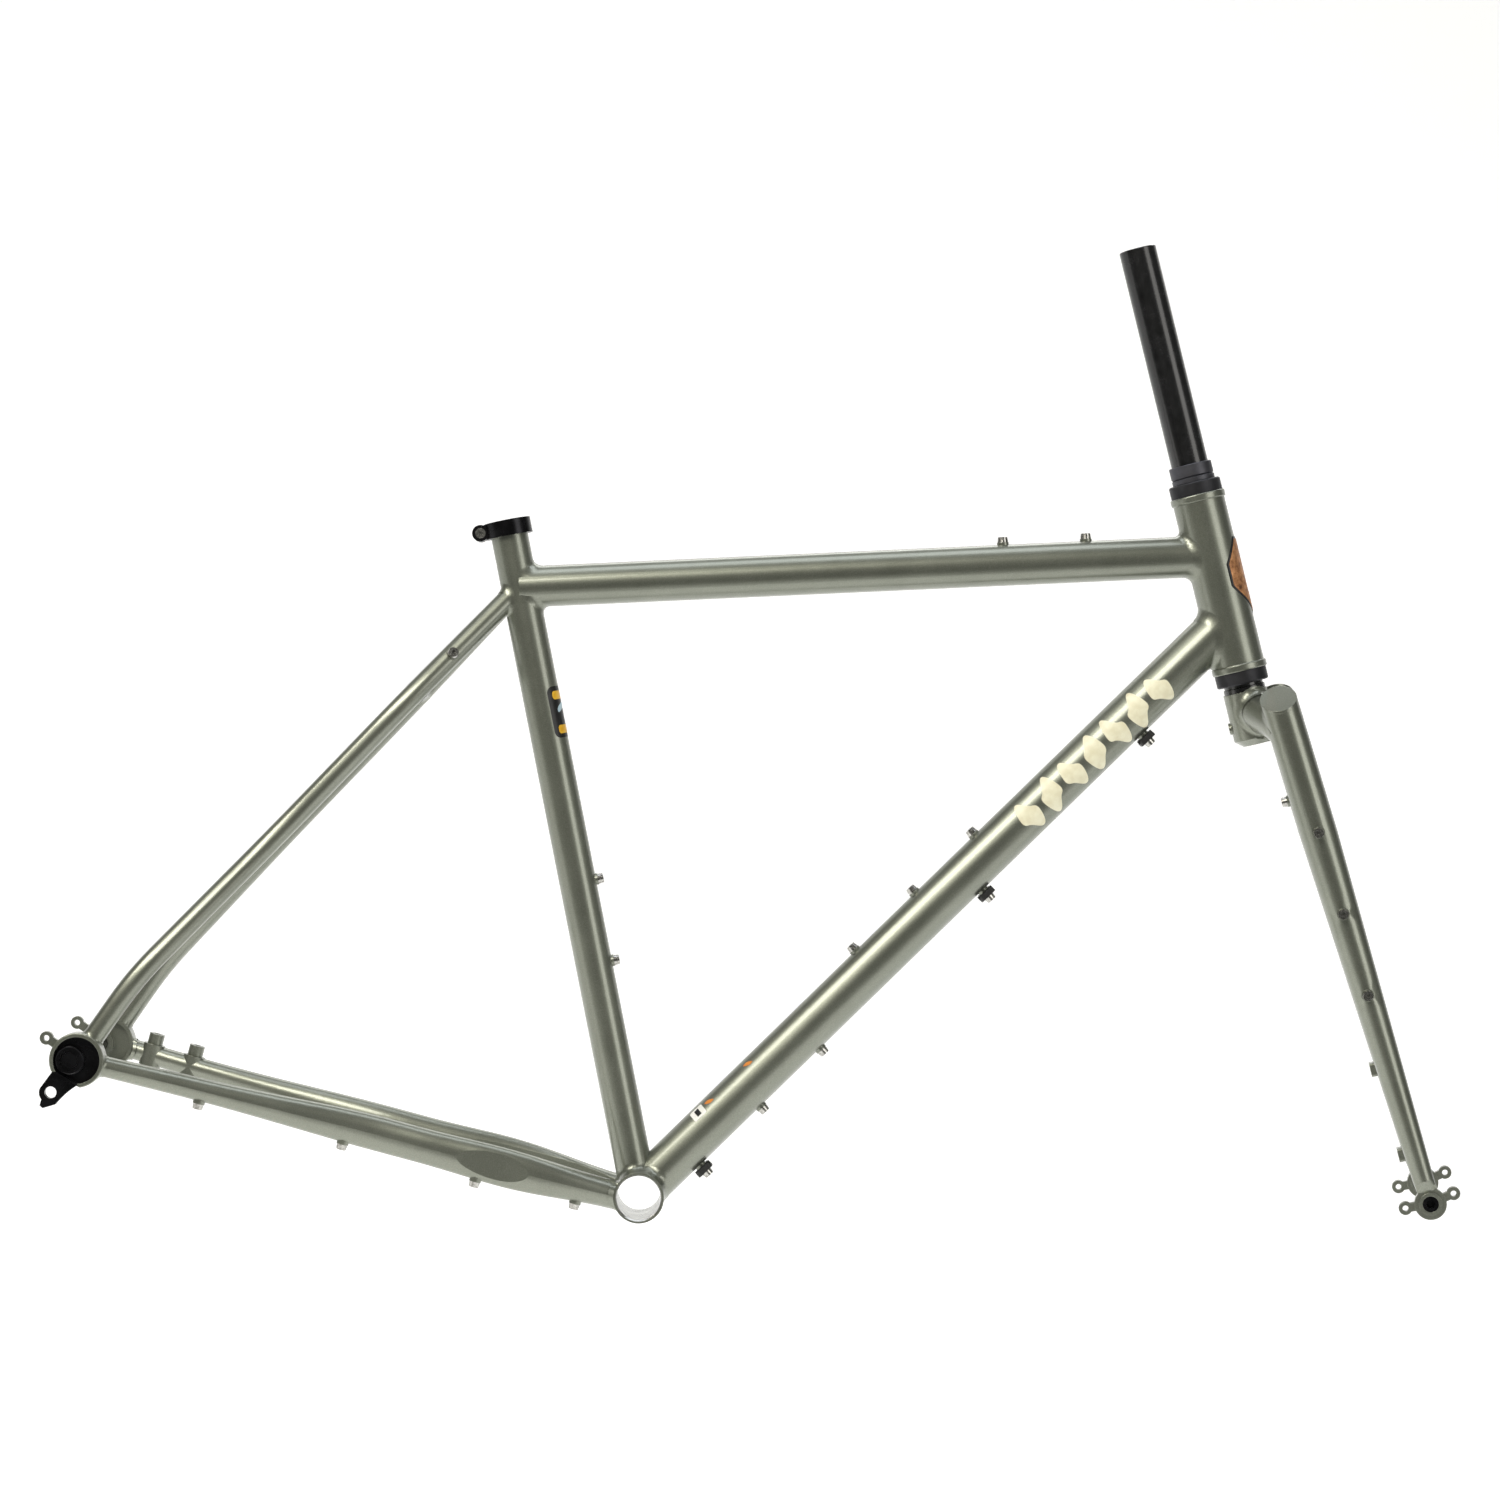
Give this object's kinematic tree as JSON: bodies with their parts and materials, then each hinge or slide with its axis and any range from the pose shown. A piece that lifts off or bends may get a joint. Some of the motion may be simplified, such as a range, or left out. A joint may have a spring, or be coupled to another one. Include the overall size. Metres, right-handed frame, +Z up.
{
  "type": "bicycle frame",
  "caption": "Steel touring-bicycle frame and fork with disc-brake mounts, threaded headset bearings, through-axles and bosses for bottles, racks and mudguards.",
  "frame": {"origin": "centre of the bottom-bracket shell", "axes": "+X forward, +Y to the rider's left along the bottom-bracket axis, +Z up, both wheel axles level"},
  "size_m": [1.0918, 0.177, 0.788],
  "materials": {
    "frame_enamel": "gloss metallic",
    "black_enamel": "gloss",
    "black_anodised_aluminium": "satin anodised",
    "stainless_steel": "polished",
    "bearing_steel": "ground",
    "black_nylon": "moulded",
    "badge_enamel": "gloss"
  },
  "bodies": {
    "frame": {"bottom_bracket_shell": "frame_enamel", "cable_guide_bolts": "stainless_steel", "cable_guides": "black_nylon", "chainstay_bolts": "stainless_steel", "chainstay_bosses": "frame_enamel", "derailleur_hanger": "black_anodised_aluminium", "down_tube": "frame_enamel", "down_tube_bolts": "stainless_steel", "down_tube_bosses": "frame_enamel", "hanger_bolt": "black_anodised_aluminium", "hanger_washer": "black_anodised_aluminium", "head_badge": "badge_enamel", "head_tube": "frame_enamel", "left_chainstay": "frame_enamel", "left_dropout": "frame_enamel", "left_seatstay": "frame_enamel", "lower_bearing": "bearing_steel", "lower_cup": "black_anodised_aluminium", "rack_bolts": "stainless_steel", "rack_bosses": "frame_enamel", "rear_brake_mounts": "frame_enamel", "right_chainstay": "frame_enamel", "right_dropout": "frame_enamel", "right_seatstay": "frame_enamel", "seat_clamp": "black_anodised_aluminium", "seat_clamp_bolt": "stainless_steel", "seat_tube": "frame_enamel", "seat_tube_bolts": "stainless_steel", "seat_tube_bosses": "frame_enamel", "seatstay_bridge": "frame_enamel", "top_tube": "frame_enamel", "top_tube_bolts": "stainless_steel", "top_tube_bosses": "frame_enamel", "upper_bearing": "bearing_steel", "upper_cup": "black_anodised_aluminium"},
    "fork": {"compression_ring": "black_anodised_aluminium", "top_cover": "black_anodised_aluminium", "crown_race": "black_enamel", "steerer": "black_enamel", "crown_sleeve": "frame_enamel", "right_crown_arm": "frame_enamel", "left_crown_arm": "frame_enamel", "right_fork_leg": "frame_enamel", "left_fork_leg": "frame_enamel", "right_leg_cap": "frame_enamel", "left_leg_cap": "frame_enamel", "right_fork_dropout": "frame_enamel", "left_fork_dropout": "frame_enamel", "fork_bosses": "frame_enamel", "fork_bolts": "stainless_steel", "fork_brake_mounts": "frame_enamel"},
    "spacer": {"headset_spacer": "black_anodised_aluminium"},
    "front_axle": {"front_axle": "black_anodised_aluminium"},
    "rear_axle": {"rear_axle": "black_anodised_aluminium"}
  },
  "joints": [
    {"name": "steering", "type": "hinge", "parent": "frame", "child": "fork", "pos_m": [0.4195, 0, 0.4486], "axis": [-0.3363, 0, 0.9418], "continuous": true},
    {"name": "spacer_lift", "type": "slide", "parent": "fork", "child": "spacer", "axis": [-0.3363, 0, 0.9418], "range_m": [0, 0.17]},
    {"name": "front_axle_pull", "type": "slide", "parent": "fork", "child": "front_axle", "axis": [0.1311, 0.9903, 0.0468], "range_m": [0, 0.12]},
    {"name": "rear_axle_pull", "type": "slide", "parent": "frame", "child": "rear_axle", "axis": [0, 1, 0], "range_m": [0, 0.168]}
  ]
}
